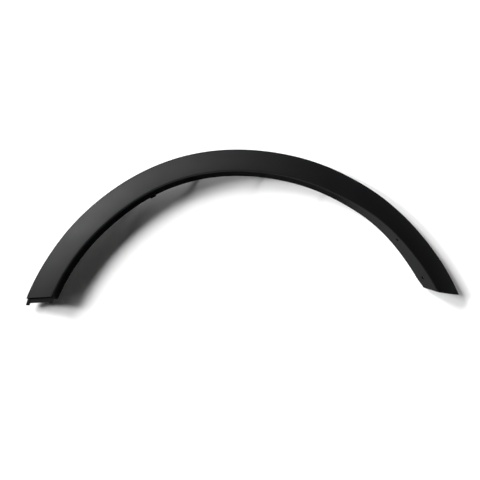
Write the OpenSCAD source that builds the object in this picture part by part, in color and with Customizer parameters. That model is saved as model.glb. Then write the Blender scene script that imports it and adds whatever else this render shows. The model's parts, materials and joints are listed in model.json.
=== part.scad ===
// Wheel arch trim for a passenger car, moulded in one piece with eight push-in clips.
// It lies face up on its clips, as on a bench: X runs along the arch's chord, Y points to
// the crown and Z points away from the body panel. Angles are taken about the wheel's axis,
// from +X toward +Y, so the right end has the small angles. Sizes are in millimetres.

/* [Arch] */
// Radius of the flange's foot about the wheel's axis
arch_r = 401; // [380:0.5:430]
// How far the arch swells out of round near its crown
crown_swell = 2.6; // [0:0.1:6]
// Angle of the crown's swell
crown_at = 105; // [95:1:115]
// Half the angle that the crown's swell covers
crown_span = 27; // [18:1:34]
// How far the arch swells out of round at its right shoulder
shoulder_swell = 1.8; // [0:0.1:5]
// Angle of the right shoulder's swell
shoulder_at = 49; // [42:1:58]
// Half the angle that the shoulder's swell covers
shoulder_span = 15; // [10:1:20]

/* [Section] */
// Thickness of the moulded wall
wall = 2.6; // [2:0.1:3.4]
// Width of the sloping face, in plan
face_w = 44; // [39:0.5:52]
// How much higher the crease lies than the outer edge
face_rise = 20.5; // [16:0.5:26]
// How far the face bulges out of straight
face_crown = 0.9; // [0:0.1:2]
// Height of the return lip along the outer edge
lip_h = 6.5; // [5:0.5:10]
// Radius of the outer edge
edge_round = 3.2; // [2:0.1:4.5]
// Radius of the crease between face and flange
crease_round = 2.2; // [1.6:0.1:5]
// How far the flange's foot reaches past the body panel's face
flange_reach = 4.5; // [2:0.5:6.5]
// How far the flange's foot lies inside its crease, in plan
flange_run = 8.5; // [6:0.5:14]
// Radius along the edges of the lip's foot and the flange's foot
foot_round = 1; // [0.4:0.1:1.2]

/* [Right end] */
// How much wider the flange grows toward the right end, in plan
widening = 13.5; // [0:0.5:16]
// Angle at which the flange starts to widen
widening_from = 64; // [50:1:70]
// How far the outer edge flares at the right end
flare = 7.5; // [0:0.5:14]
// Angle at which the outer edge starts to flare
flare_from = 48; // [42:1:62]
// Distance of the right cut from the wheel's axis, at the body panel's face
right_cut = 242.5; // [225:0.5:262]
// Turn of the right cut away from the chord, in degrees
right_turn = 10.5; // [4:0.5:16]
// Lean of the right cut from upright, in degrees
right_lean = 6; // [0:0.5:14]
// How far the flange's foot runs out at its right corner
right_runout = 3.5; // [0:0.5:5]
// Radius of the flange's corner at the ends
corner_round = 2; // [1.5:0.5:9]

/* [Left end] */
// How far the outer edge flares at the left end
left_flare = 2.5; // [0:0.1:5]
// How far the flange stands in toward the wheel at the left end
left_waist = 2.6; // [0:0.1:5]
// Height of the left cut above the wheel's axis, where it meets the bench
left_cut = 155.5; // [146:0.5:172]
// Lean of the left cut from upright, in degrees
left_lean = 11.5; // [0:0.5:18]
// How far the tongue reaches past the left cut
tongue_reach = 9.5; // [6:0.5:13]
// How deep the tongue lies below the face
tongue_setback = 4.6; // [3.4:0.1:5.4]
// How far the tongue dips toward its end
tongue_dip = 1.5; // [0:0.1:2.5]
// Thickness of the tongue
tongue_t = 2.4; // [1.6:0.1:3]
// How far the outer prong stands past the tongue
outer_prong = 3.5; // [2:0.5:8]
// How far the inner prong stands past the tongue
inner_prong = 2; // [1:0.5:6]

/* [Screw holes] */
// Radius of the two screw holes in the flange
hole_r = 2.75; // [2:0.05:3.4]
// Distance of the upper screw hole from the right end, along the arch
upper_hole_in = 106; // [80:0.5:116]
// Height of the upper screw hole up the flange, as a share of it
upper_hole_up = 0.66; // [0.5:0.01:0.72]
// Distance of the lower screw hole from the right end, along the arch
lower_hole_in = 17.5; // [14:0.5:28]
// Height of the lower screw hole up the flange, as a share of it
lower_hole_up = 0.46; // [0.35:0.01:0.7]
// Radius of the pad behind each screw hole
pad_r = 6.5; // [5:0.1:7.5]
// How far the pad stands behind the flange
pad_t = 1.5; // [0.8:0.1:2.5]

/* [Clip houses and ribs] */
// Distance of the first clip from the right end, along the arch
first_clip_in = 30; // [28:0.5:42]
// Distance of the last clip from the left end, along the arch
last_clip_in = 50; // [44:0.5:66]
// Distance of each clip outside the crease, in plan
clip_out = 22; // [19:0.5:24]
// Size of a clip house along and across the arch
house_size = 21; // [19:0.5:23]
// Wall of a clip house
house_wall = 1.8; // [1.2:0.1:2.4]
// Thickness of the slotted plate that a clip slides into
plate_t = 2; // [1.4:0.1:2.4]
// Thickness of the ribs between face, lip and flange
rib_t = 1.4; // [1:0.1:2.2]
// Gap between the ribs' lower edge and the body panel
rib_gap = 3; // [2:0.5:5]

/* [Clips] */
// How far a clip reaches behind the body panel's face
clip_reach = 13.5; // [11:0.5:18]
// Radius of a clip's neck
neck_r = 3; // [2.4:0.1:3.4]
// Play between a clip's neck and its slot, all round
neck_play = 0.2; // [0.1:0.05:0.4]
// Radius of a clip's head
head_r = 6.5; // [5:0.1:7]
// Thickness of a clip's head
head_t = 1.6; // [1:0.1:2]
// Bevel on the edges of a clip's head and collar
bevel = 0.4; // [0.2:0.05:0.6]
// Radius of a clip's collar
collar_r = 8.4; // [7.5:0.1:9.5]
// Thickness of a clip's collar
collar_t = 1.5; // [1:0.1:2]
// Half the width of a clip's barbs
barb_w = 4.7; // [4:0.1:5.4]
// Thickness of each barb
barb_t = 1.6; // [1.2:0.1:2]
// Half the width of the blade's tip
tip_w = 1.2; // [0.8:0.1:1.6]
// Thickness of a clip's blade
blade_t = 4.4; // [3.4:0.1:5]
// Thickness of the foam seal under a clip's collar
seal_t = 2.4; // [1.6:0.1:3.2]
// Radius of the foam seal
seal_r = 8.2; // [7:0.1:9]

/* [Liner tab] */
// Distance of the tab on the flange's foot from the left end, along the arch
tab_in = 288; // [230:1:340]
// Width of the tab, along the arch
tab_w = 12; // [8:0.5:22]
// How far the tab hangs below the flange's foot
tab_drop = 6.5; // [4:0.5:7]
// How far the tab's hook stands in toward the wheel
tab_hook = 1.5; // [1:0.1:3]

/* [Hidden] */
clips = 8;
$fn = 48;

// Heights above the bench, on which the clips' tips stand.
panel_z = clip_reach;
edge_z = panel_z + lip_h;
crease_z = edge_z + face_rise;
foot_z = panel_z - flange_reach;
// Heights above the body panel, within a clip house.
plate_z = seal_t + collar_t;
head_z = plate_z + plate_t + neck_play;
// Play between the foam seal and the clip's neck.
seal_play = 0.3;
// Places of the ribs between two clips, as shares of the step.
rib_shares = [0.3, 0.7];
// Angle and spread of the left end's flare.
left_flare_at = 162;
left_flare_span = 18;
// Angle at which the left end's waist is complete, and the angle that it grows over.
left_waist_at = 136;
left_waist_span = 26;
// Angle at which the right corner's run-out is complete, and the angle that it grows over.
right_runout_at = 25;
right_runout_span = 5.5;
// Length of the joggle's pad under the face, and how far it stays short of the cut.
joggle_lap = 14;
joggle_step = 0.8;
// Width of the prongs as a share of the face, where they start across it, how far they stand
// above and below the tongue, and the depths under the face that they fill.
prong_w = 0.1;
outer_prong_from = 0.02;
inner_prong_from = 0.91;
prong_above = 0.8;
prong_below = 2.5;
prong_depth = [tongue_setback - prong_above, tongue_setback + tongue_t + prong_below];

// Angles at which the section's growth toward the right end is complete.
full_at = 24;
// Rough angles of the two ends, from which the true ones are found.
right_end_near = 24;
left_end_near = 157;
// Least radius of an inner corner.
least_round = 0.4;
// How far cutting shapes reach past what they cut.
over = 1;
// Steps of the sweep along the arch, and next to each cut.
stations = 60;
end_stations = 3;
// Steps round the edge, round the crease and across the face.
edge_steps = 3;
crease_steps = 4;
face_steps = 4;
// How deep pieces of the moulding are sunk into its wall, so that they join.
sink = wall / 2;

// Plan of the arch: a circle with two gentle swells, and growth toward the right end.
function bell(x) = abs(x) >= 1 ? 0 : (1 + cos(180 * x)) / 2;
function growth(a, from) = a >= from ? 0 : pow((from - a) / (from - full_at), 1.15);
function waisted(a) = left_waist * bell(min(a - left_waist_at, 0) / left_waist_span);
function run_out(a) = right_runout * bell(max(a - right_runout_at, 0) / right_runout_span);
function round_at(a) = arch_r + crown_swell * bell((a - crown_at) / crown_span)
    + shoulder_swell * bell((a - shoulder_at) / shoulder_span);
function foot_at(a) = round_at(a) - waisted(a) + run_out(a);
function crease_at(a) = round_at(a) - waisted(a) + flange_run
    + widening * growth(a, widening_from);
function outer_at(a) = round_at(a) + flange_run + face_w
    + flare * growth(a, flare_from)
    + left_flare * bell((a - left_flare_at) / left_flare_span);

// Section at one angle, as [radius, height]. Its corners run from the lip's foot over the
// outer edge and the crease to the flange's foot, and the wall lies on their left.
function corners(a) = [
    [outer_at(a), panel_z],
    [outer_at(a), edge_z],
    [crease_at(a), crease_z],
    [foot_at(a), foot_z]
];
function reversed(v) = [for (i = [len(v) - 1:-1:0]) v[i]];
function unit(v) = v / norm(v);
function inward(p, q) = [-unit(q - p).y, unit(q - p).x];
function turned(v) = (atan2(v.y, v.x) + 360) % 360;
function mix(p, q, s) = p + (q - p) * s;

// A corner of the line that lies a depth inside the skin.
function sunk(c, i, depth) =
    let (n = inward(c[i - 1], c[i]), m = inward(c[i], c[i + 1]))
    c[i] + depth * (n + m) / (1 + n * m);
function bulge(c) = atan(4 * face_crown / norm(c[2] - c[1]));
function rounded(c, i, depth, radius, from, to, steps) =
    let (r = max(radius - depth, least_round), centre = sunk(c, i, depth + r))
    [for (k = [0:steps]) let (f = mix(from, to, k / steps)) centre - r * [cos(f), sin(f)]];
function foot_line(p, along, across, depth) =
    let (r = foot_round, q = p + across * depth)
    depth == 0
        ? [for (f = [0:45:90]) q + r * ((1 - sin(f)) * along + (1 - cos(f)) * across)]
        : [for (f = [0:45:90]) q + r * (1 - sin(f)) * along];

// The line a depth inside the skin, from the lip's foot to the flange's foot.
function skin(a, depth) =
    let (
        c = corners(a),
        lip_n = turned(inward(c[0], c[1])),
        face_n = turned(inward(c[1], c[2])),
        flange_n = turned(inward(c[2], c[3])),
        edge = rounded(c, 1, depth, edge_round, lip_n, face_n - bulge(c), edge_steps),
        crease = rounded(c, 2, depth, crease_round, face_n + bulge(c), flange_n, crease_steps),
        lip_foot = foot_line(c[0], unit(c[1] - c[0]), inward(c[0], c[1]), depth),
        flange_foot = foot_line(c[3], unit(c[2] - c[3]), inward(c[2], c[3]), depth),
        e = edge[edge_steps],
        k = crease[0]
    )
    concat(
        [for (i = [2:-1:0]) lip_foot[i]],
        edge,
        [for (i = [1:face_steps - 1]) let (s = i / face_steps)
            mix(e, k, s) - inward(e, k) * face_crown * 4 * s * (1 - s)],
        crease,
        [for (s = [0.45, 0.8, 0.92]) mix(crease[crease_steps], flange_foot[0], s)],
        flange_foot
    );

// The arch's two cuts. A point's angle on a cut follows from its radius and height, and past
// is a distance beyond the cut.
function on_left(p, past) = 180 - asin((left_cut - past + p.y * tan(left_lean)) / p.x);
function on_right(p, past) = 90 - right_turn
    - acos((right_cut - past + (panel_z - p.y) * tan(right_lean)) / p.x);
function corner_cut(p, c) =
    let (d = corner_round - norm(p - c[3]))
    d <= 0 ? 0 : corner_round - sqrt(max(corner_round * corner_round - d * d, 0));
function settle(i, depth, left, a, tries) =
    let (p = skin(a, depth)[i], back = -corner_cut(p, corners(a)))
    tries == 0 ? a : settle(i, depth, left, left ? on_left(p, back) : on_right(p, back), tries - 1);
function place(p, a) = [p.x * cos(a), p.x * sin(a), p.y];
// A ring of the wall runs out along the skin and back along the wall's inner side. Each of
// its points has an angle of its own, which is the same for all points away from the cuts.
skin_points = len(skin(90, 0));
function depth_of(k) = k < skin_points ? 0 : wall;
function index_of(k) = k < skin_points ? k : 2 * skin_points - 1 - k;
function ring(angles) = [for (k = [0:len(angles) - 1])
    place(skin(angles[k], depth_of(k))[index_of(k)], angles[k])];
function cut_angles(left) = [for (k = [0:2 * skin_points - 1])
    settle(index_of(k), depth_of(k), left, left ? left_end_near : right_end_near, 4)];
function all_at(a) = [for (k = [1:2 * skin_points]) a];

// The angles of both cuts, and the furthest that either reaches along the arch.
right_angles = cut_angles(false);
left_angles = cut_angles(true);
right_edge = max(right_angles) + 0.6;
left_edge = min(left_angles) - 0.6;
right_ring = ring(right_angles);
left_ring = ring(left_angles);

// The model's box is centred on the frame's X and Y.
low_x = min([for (p = left_ring) p.x]);
high_x = max([for (p = right_ring) p.x]);
top_y = max([for (a = [70:0.5:130]) outer_at(a) * sin(a)]);
low_y = min([for (s = [outer_prong_from, outer_prong_from + prong_w]) for (depth = prong_depth)
    end_point(s, depth, tongue_reach + outer_prong).y]);
mid = [(low_x + high_x) / 2, (top_y + low_y) / 2, 0];

// Joins rings of points into one closed skin. A ring runs out along one line and back along
// the other, so each end is closed by the strip between the two lines.
module sweep(rings) {
    n = len(rings[0]);
    last = len(rings) - 1;
    polyhedron(
        points = [for (r = rings) each r],
        faces = concat(
            [for (j = [0:last - 1]) for (i = [0:n - 1]) let (k = (i + 1) % n)
                each [
                    [j * n + i, j * n + k, (j + 1) * n + k],
                    [j * n + i, (j + 1) * n + k, (j + 1) * n + i]
                ]],
            [for (i = [0:n / 2 - 2]) each [
                [i, n - 1 - i, n - 2 - i],
                [i, n - 2 - i, i + 1]
            ]],
            [for (i = [0:n / 2 - 2]) let (b = last * n) each [
                [b + i, b + n - 2 - i, b + n - 1 - i],
                [b + i, b + i + 1, b + n - 2 - i]
            ]]
        )
    );
}

module shell() {
    sweep([
        for (j = [0:end_stations - 1]) ring(mix(right_angles, all_at(right_edge), j / end_stations)),
        for (j = [0:stations]) let (a = mix(right_edge, left_edge, j / stations))
            concat(
                [for (p = skin(a, 0)) place(p, a)],
                [for (p = reversed(skin(a, wall))) place(p, a)]
            ),
        for (j = [end_stations - 1:-1:0]) ring(mix(left_angles, all_at(left_edge), j / end_stations))
    ]);
}

// Room behind the shell, up to the middle of its wall.
module room() {
    steps = 44;
    rings = [for (j = [0:steps])
        let (
            a = mix(right_edge + 1, left_edge - 1, j / steps),
            middle = skin(a, sink),
            line = [for (i = [1:2:len(middle) - 2]) middle[i]],
            n = len(line)
        )
        [
            for (p = line) place(p, a),
            for (i = [1:n]) place(mix(line[n - 1], line[0], i / (n + 1)), a)
        ]];
    sweep(rings);
}

// A point under the face near the left end: s runs from the outer edge to the crease.
function face_point(a, s, depth) =
    let (c = corners(a))
    mix(c[1], c[2], s) + inward(c[1], c[2]) * (depth - face_crown * 4 * s * (1 - s));
function end_angle(s, depth, past, a, tries) =
    tries == 0 ? a : end_angle(s, depth, past, on_left(face_point(a, s, depth), past), tries - 1);
function end_point(s, level, past) =
    let (
        depth = level + tongue_dip * max(past, 0) / tongue_reach,
        a = end_angle(s, depth, past, left_end_near, 4)
    )
    place(face_point(a, s, depth), a);

// A layer under the face near the left cut: past the cut, below the skin and across the
// face, each from one value to another.
module layer(past, depth, across) {
    sweep([for (j = [0:2])
        let (beyond = mix(past[0], past[1], j / 2))
        [
            for (k = [0:4]) end_point(mix(across[0], across[1], k / 4), depth[0], beyond),
            for (k = [4:-1:0]) end_point(mix(across[0], across[1], k / 4), depth[1], beyond)
        ]]);
}

// The joggle that the next trim laps over: a pad under the face, a tongue past the cut and
// two prongs at the tongue's corners.
module joggle() {
    low = tongue_setback + tongue_t;
    layer([-joggle_lap, -joggle_step], [sink, tongue_setback + tongue_t / 2], [0.03, 0.95]);
    layer([-0.7 * joggle_lap, tongue_reach], [tongue_setback, low], [0.08, 0.93]);
    layer([-0.4 * joggle_lap, tongue_reach + outer_prong], prong_depth,
        [outer_prong_from, outer_prong_from + prong_w]);
    layer([-0.6 * joggle_step, tongue_reach + inner_prong], prong_depth,
        [inner_prong_from, inner_prong_from + prong_w]);
}

// Angles at distances along the arch from its ends.
right_end = on_right([arch_r, panel_z], 0);
left_end = on_left([arch_r, 0], 0);
function from_right(d) = right_end + d / arch_r * 180 / PI;
function from_left(d) = left_end - d / arch_r * 180 / PI;
function clip_angle(i) =
    mix(from_right(first_clip_in), from_left(last_clip_in), (i - 1) / (clips - 1));

module at_clip(i) {
    a = clip_angle(i);
    rotate(a) translate([crease_at(a) + clip_out, 0, panel_z]) children();
}

// A house that a clip's head slides into, with a slotted plate; its top is trimmed by the shell.
module house() {
    half = house_size / 2;
    inner = half - house_wall;
    slot = neck_r + neck_play;
    difference() {
        translate([-half, -half, plate_z]) cube([house_size, house_size, crease_z - panel_z]);
        translate([-inner, -inner, plate_z + plate_t]) cube([2 * inner, house_size, crease_z]);
        translate([-slot, 0, plate_z - over]) cube([2 * slot, house_size, plate_t + 2 * over]);
        translate([0, 0, plate_z - over]) cylinder(r = slot, h = plate_t + 2 * over);
    }
}

module rib(a) {
    rotate(a) translate([arch_r - face_w, -rib_t / 2, panel_z + rib_gap])
        cube([3 * face_w, rib_t, crease_z]);
}

module backing() {
    intersection() {
        room();
        union() {
            for (i = [1:clips]) at_clip(i) house();
            for (i = [1:clips - 1]) for (share = rib_shares) rib(clip_angle(i + share));
        }
    }
}

// Stands children on the flange's skin, with their Z axis pointing into the wall.
module on_flange(a, up) {
    c = corners(a);
    p = mix(c[3], c[2], up);
    n = inward(c[2], c[3]);
    rotate(a) translate([p.x, 0, p.y]) rotate([0, atan2(n.x, n.y), 0]) children();
}

module at_holes() {
    on_flange(from_right(upper_hole_in), upper_hole_up) children();
    on_flange(from_right(lower_hole_in), lower_hole_up) children();
}

module liner_tab() {
    low = foot_z - tab_drop;
    a = from_left(tab_in);
    rotate(a) translate([foot_at(a), 0, 0]) rotate([90, 0, 0])
        linear_extrude(tab_w, center = true)
            polygon([
                [wall * 0.9, foot_z + wall],
                [wall * 0.3, foot_z + wall],
                [wall * 0.1, low + wall * 0.9],
                [-tab_hook, low + wall * 0.8],
                [-tab_hook, low],
                [wall * 0.6, low],
                [wall * 0.9, low + wall * 0.3]
            ]);
}

module arch_moulding() {
    color("#2b2c2e")
        translate(-mid)
            difference() {
                union() {
                    shell();
                    backing();
                    joggle();
                    liner_tab();
                    at_holes() translate([0, 0, sink]) cylinder(r = pad_r, h = wall - sink + pad_t);
                }
                at_holes() translate([0, 0, -wall]) cylinder(r = hole_r, h = 3 * wall + pad_t);
            }
}

// A push-in clip: head, neck, collar and a blade with two springy barbs.
module clip(i) {
    barb = [
        [0, -clip_reach],
        [tip_w, -clip_reach],
        [barb_w, -0.36 * clip_reach],
        [neck_r + neck_play, -0.12 * clip_reach],
        [neck_r + neck_play - 0.7 * barb_t, -0.12 * clip_reach],
        [barb_w - barb_t, -0.38 * clip_reach],
        [barb_t, -0.76 * clip_reach],
        [0, -0.76 * clip_reach]
    ];
    color("ivory")
        translate(-mid) at_clip(i) {
            rotate_extrude()
                polygon([
                    [0, 0],
                    [neck_r, 0],
                    [neck_r, seal_t],
                    [collar_r - bevel, seal_t],
                    [collar_r, seal_t + bevel],
                    [collar_r - bevel, plate_z],
                    [neck_r, plate_z],
                    [neck_r, head_z],
                    [head_r - bevel, head_z],
                    [head_r, head_z + bevel],
                    [head_r, head_z + head_t - bevel],
                    [head_r - bevel, head_z + head_t],
                    [0, head_z + head_t]
                ]);
            rotate([90, 0, 90])
                linear_extrude(blade_t, center = true)
                    union() {
                        for (side = [1, -1]) polygon([for (p = barb) [side * p.x, p.y]]);
                        translate([-barb_t / 2, -0.8 * clip_reach])
                            square([barb_t, 0.8 * clip_reach + bevel]);
                    }
        }
}

// The foam washer between a clip's collar and the body panel.
module clip_seal(i) {
    color("#3a3a3a")
        translate(-mid) at_clip(i)
            difference() {
                cylinder(r = seal_r, h = seal_t);
                translate([0, 0, -over]) cylinder(r = neck_r + seal_play, h = seal_t + 2 * over);
            }
}

arch_moulding();
for (i = [1:clips]) {
    clip(i);
    clip_seal(i);
}
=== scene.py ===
import json
from itertools import product
from math import atan, atan2, cos, hypot, pi, radians, sin, tan

import bmesh
import bpy
import numpy as np
from bpy.props import FloatProperty, FloatVectorProperty, IntProperty, PointerProperty
from bpy.types import Operator, Panel, PropertyGroup
from mathutils import Matrix, Vector


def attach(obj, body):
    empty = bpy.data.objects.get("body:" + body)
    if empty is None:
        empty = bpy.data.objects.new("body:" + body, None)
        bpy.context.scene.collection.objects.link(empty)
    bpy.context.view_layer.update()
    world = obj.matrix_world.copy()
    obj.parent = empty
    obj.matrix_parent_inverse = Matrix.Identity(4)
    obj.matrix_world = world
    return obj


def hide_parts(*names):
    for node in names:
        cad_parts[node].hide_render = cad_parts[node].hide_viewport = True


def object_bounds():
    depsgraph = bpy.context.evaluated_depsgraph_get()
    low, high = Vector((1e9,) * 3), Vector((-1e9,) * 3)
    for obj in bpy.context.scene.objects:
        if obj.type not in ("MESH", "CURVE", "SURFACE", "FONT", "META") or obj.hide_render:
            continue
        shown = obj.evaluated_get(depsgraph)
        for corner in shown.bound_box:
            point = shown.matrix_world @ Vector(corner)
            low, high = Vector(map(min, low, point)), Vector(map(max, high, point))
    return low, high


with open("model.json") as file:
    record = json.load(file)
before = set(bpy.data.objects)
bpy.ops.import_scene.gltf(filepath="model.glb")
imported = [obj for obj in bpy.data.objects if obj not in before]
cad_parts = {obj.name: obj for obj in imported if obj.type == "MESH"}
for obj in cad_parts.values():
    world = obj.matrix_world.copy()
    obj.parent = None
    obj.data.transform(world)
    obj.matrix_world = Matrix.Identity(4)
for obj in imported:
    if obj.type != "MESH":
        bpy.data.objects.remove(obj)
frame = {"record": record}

bl_info = {
    "name": "Wheel Arch Trim",
    "version": (1, 0, 0),
    "blender": (4, 5, 0),
    "location": "3D View > Sidebar > Arch Trim",
    "description": "A moulded wheel arch trim with its clips, seals and a plain studio",
    "category": "Object",
}

CAD_BOX = [list(corner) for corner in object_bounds()]
MOUNTS = {mount["name"]: mount for mount in frame["record"]["mounts"]}
CLIPS = range(1, 9)
CLIP_MOUNTS = [MOUNTS[f"panel_clip_{i}"] for i in CLIPS]
SCREW_MOUNTS = [MOUNTS["flange_screw_upper"], MOUNTS["flange_screw_lower"]]

# Steps along the edge's round, the face, the crease's round and the flange.
EDGE_STEPS, FACE_STEPS, CREASE_STEPS, FLANGE_STEPS = 8, 13, 9, 7
# Steps in which a cut's angle is found, and steps across and along a layer behind the face.
CUT_STEPS, ACROSS_STEPS, ALONG_STEPS = 3, 8, 3
# Widening and flare start gently, and then grow almost evenly.
GROWTH_POWER = 1.15
# Least radius of a rounded corner, in metres.
LEAST_ROUND = 0.0004
# Shading keeps edges sharper than this, in degrees.
SHARP_ANGLE = 35


def srgb(hex_colour):
    """Linear colour of an sRGB hex value."""
    parts = [int(hex_colour[i:i + 2], 16) / 255 for i in (1, 3, 5)]
    return [p / 12.92 if p <= 0.04045 else ((p + 0.055) / 1.055) ** 2.4 for p in parts]


def length(name, description, default):
    """A size, in metres."""
    return FloatProperty(
        name=name, description=description, default=default,
        unit="LENGTH", subtype="DISTANCE", precision=5)


def angle(name, description, default):
    """An angle, with its default in degrees."""
    return FloatProperty(
        name=name, description=description, default=radians(default), unit="ROTATION", subtype="ANGLE")


def colour(name, description, default):
    """A colour, with its default as an sRGB hex value."""
    return FloatVectorProperty(
        name=name, description=description, default=srgb(default), subtype="COLOR", min=0, max=1)


def lamp(name, default):
    """A lamp's bearing, height, size and strength."""
    described = "Bearing, height above the horizon and apparent size in degrees, and strength"
    return FloatVectorProperty(name=name, description=described, size=4, default=default)


# Sizes, in metres. Angles run about the wheel's axis, from +X toward +Y.


class ArchPlan(PropertyGroup):
    wheel_x: length("Wheel axis X", "Place of the wheel's axis along the chord", -0.00182016)
    wheel_y: length("Wheel axis Y", "Place of the wheel's axis below the crown", -0.299576)
    foot_radius: length("Foot radius", "Radius of the flange's foot", 0.40096)
    crown_swell: length("Crown swell", "How far the arch swells near its crown", 0.0026)
    crown_angle: angle("Crown angle", "Angle of the crown's swell", 105)
    crown_spread: angle("Crown spread", "Half the angle that the crown's swell covers", 27)
    shoulder_swell: length("Shoulder swell", "How far the arch swells at its right shoulder", 0.0018)
    shoulder_angle: angle("Shoulder angle", "Angle of the shoulder's swell", 49)
    shoulder_spread: angle("Shoulder spread", "Half the angle that the shoulder's swell covers", 15)
    waist: length("Left waist", "How far the flange stands in toward the wheel at the left end", 0.0026)
    waist_angle: angle("Left waist angle", "Angle at which the left waist is complete", 136)
    waist_spread: angle("Left waist spread", "Angle that the left waist grows over", 26)
    runout: length("Right run-out", "How far the flange's foot runs out at its right corner", 0.0035)
    runout_angle: angle("Right run-out angle", "Angle at which the run-out is complete", 25)
    runout_spread: angle("Right run-out spread", "Angle that the run-out grows over", 5.5)
    widening_angle: angle("Widening angle", "Angle at which the flange starts to widen", 64)
    flare_angle: angle("Flare angle", "Angle at which the outer edge starts to flare", 48)
    full_angle: angle("Full angle", "Angle at which widening and flare are complete", 24)
    left_flare: length("Left flare", "How far the outer edge flares at the left end", 0.0025)
    left_flare_angle: angle("Left flare angle", "Angle of the left flare", 162)
    left_flare_spread: angle("Left flare spread", "Half the angle that the left flare covers", 18)
    stations: IntProperty(name="Stations", description="Rings along the arch", default=220, min=40, max=400)


class TrimSection(PropertyGroup):
    wall: length("Wall", "Thickness of the moulded wall", 0.0026)
    face_width: length("Face width", "Width of the sloping face, in plan", 0.044)
    panel_height: length("Panel height", "Height of the body panel's face above the bench", 0.0135)
    lip_height: length("Lip height", "Height of the return lip", 0.0065)
    face_rise: length("Face rise", "How much higher the crease lies than the outer edge", 0.0205)
    face_crown: length("Face crown", "How far the face bulges out of straight", 0.0009)
    edge_round: length("Edge round", "Radius of the outer edge", 0.0032)
    crease_round: length("Crease round", "Radius of the crease", 0.0022)
    foot_round: length("Foot round", "Radius along the feet of lip and flange", 0.001)
    flange_run: length("Flange run", "How far the foot lies inside the crease, in plan", 0.0085)
    flange_reach: length("Flange reach", "How far the foot reaches past the panel's face", 0.0045)
    widening: length("Widening", "How much wider the flange is at the right end", 0.0135)
    flare: length("Flare", "How far the outer edge flares at the right end", 0.0075)


class TrimEnds(PropertyGroup):
    right_cut: length("Right cut", "Distance of the right cut from the wheel's axis", 0.2425)
    right_turn: angle("Right turn", "Turn of the right cut away from the chord", 10.5)
    right_lean: angle("Right lean", "Lean of the right cut from upright", 6)
    left_cut: length("Left cut", "Height of the left cut above the wheel's axis", 0.1555)
    left_lean: angle("Left lean", "Lean of the left cut from upright", 11.5)
    corner_round: length("Corner round", "Radius of the flange's corners", 0.002)
    tongue_reach: length("Tongue reach", "How far the tongue reaches past the cut", 0.0095)
    tongue_setback: length("Tongue setback", "How deep the tongue lies below the face", 0.0046)
    tongue_dip: length("Tongue dip", "How far the tongue dips toward its end", 0.0015)
    tongue_thickness: length("Tongue thickness", "Thickness of the tongue", 0.0024)
    outer_prong: length("Outer prong", "How far the outer prong stands past the tongue", 0.0035)
    inner_prong: length("Inner prong", "How far the inner prong stands past the tongue", 0.002)
    tab_angle: angle("Tab angle", "Place of the liner tab on the flange's foot", 116.03)
    tab_width: length("Tab width", "Width of the liner tab", 0.012)
    tab_drop: length("Tab drop", "How far the tab hangs below the foot", 0.0065)
    tab_hook: length("Tab hook", "How far the tab's hook stands in", 0.0015)


class ClipSizes(PropertyGroup):
    house_size: length("House size", "Size of a clip house", 0.021)
    house_wall: length("House wall", "Wall of a clip house", 0.0018)
    plate_height: length("Plate height", "Height of the slotted plate over the panel", 0.0039)
    plate: length("Plate", "Thickness of the slotted plate", 0.002)
    rib: length("Rib", "Thickness of the ribs", 0.0014)
    rib_gap: length("Rib gap", "Gap between the ribs and the panel", 0.003)
    pad_radius: length("Pad radius", "Radius of the pad behind each screw hole", 0.0065)
    neck: length("Neck", "Radius of a clip's neck", 0.003)
    play: length("Play", "Play between neck and slot", 0.0002)
    head: length("Head", "Radius of a clip's head", 0.0065)
    head_thickness: length("Head thickness", "Thickness of a clip's head", 0.0016)
    collar: length("Collar", "Radius of a clip's collar", 0.0084)
    barb: length("Barb", "Half the width over a clip's barbs", 0.0047)
    barb_thickness: length("Barb thickness", "Thickness of each barb", 0.0016)
    tip: length("Tip", "Half the width of the blade's tip", 0.0012)
    blade: length("Blade", "Thickness of a clip's blade", 0.0044)
    seal: length("Seal", "Thickness of the foam seal", 0.0024)
    seal_radius: length("Seal radius", "Radius of the foam seal", 0.0082)


class Finish(PropertyGroup):
    plastic: colour("Plastic", "Black polypropylene of the moulding", "#040405")
    nylon: colour("Nylon", "Natural nylon of the clips", "#d8d0b8")
    foam: colour("Foam", "Closed-cell foam of the seals", "#38383a")
    bench: colour("Bench", "Plain pale bench", "#f4f4f4")
    grain: length("Grain", "Size of the moulded grain", 0.0009)


class Studio(PropertyGroup):
    camera_x: length("Camera X", "Place of the camera over the trim", -0.0051)
    camera_y: length("Camera Y", "Place of the camera over the trim", -0.024676)
    camera_height: length("Camera height", "Height of the camera over the bench", 2.2)
    lens: FloatProperty(name="Lens", description="Focal length, 36 mm sensor", default=82.5, unit="CAMERA")
    key: lamp("Key light", (140, 30, 20, 4.5))
    window: lamp("Window light", (167, 28, 14, 3.75))
    low: lamp("Low light", (57, 6, 10, 5.6))
    side: lamp("Side card", (107, 32, 20, 1.4))
    front: lamp("Front card", (270, 25, 60, 2.5))
    fill_strength: FloatProperty(name="Fill strength", description="Brightness of the room", default=0.035)


class ArchTrim(PropertyGroup):
    plan: PointerProperty(type=ArchPlan)
    section: PointerProperty(type=TrimSection)
    ends: PointerProperty(type=TrimEnds)
    clips: PointerProperty(type=ClipSizes)
    finish: PointerProperty(type=Finish)
    studio: PointerProperty(type=Studio)


# Node trees.


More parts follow.
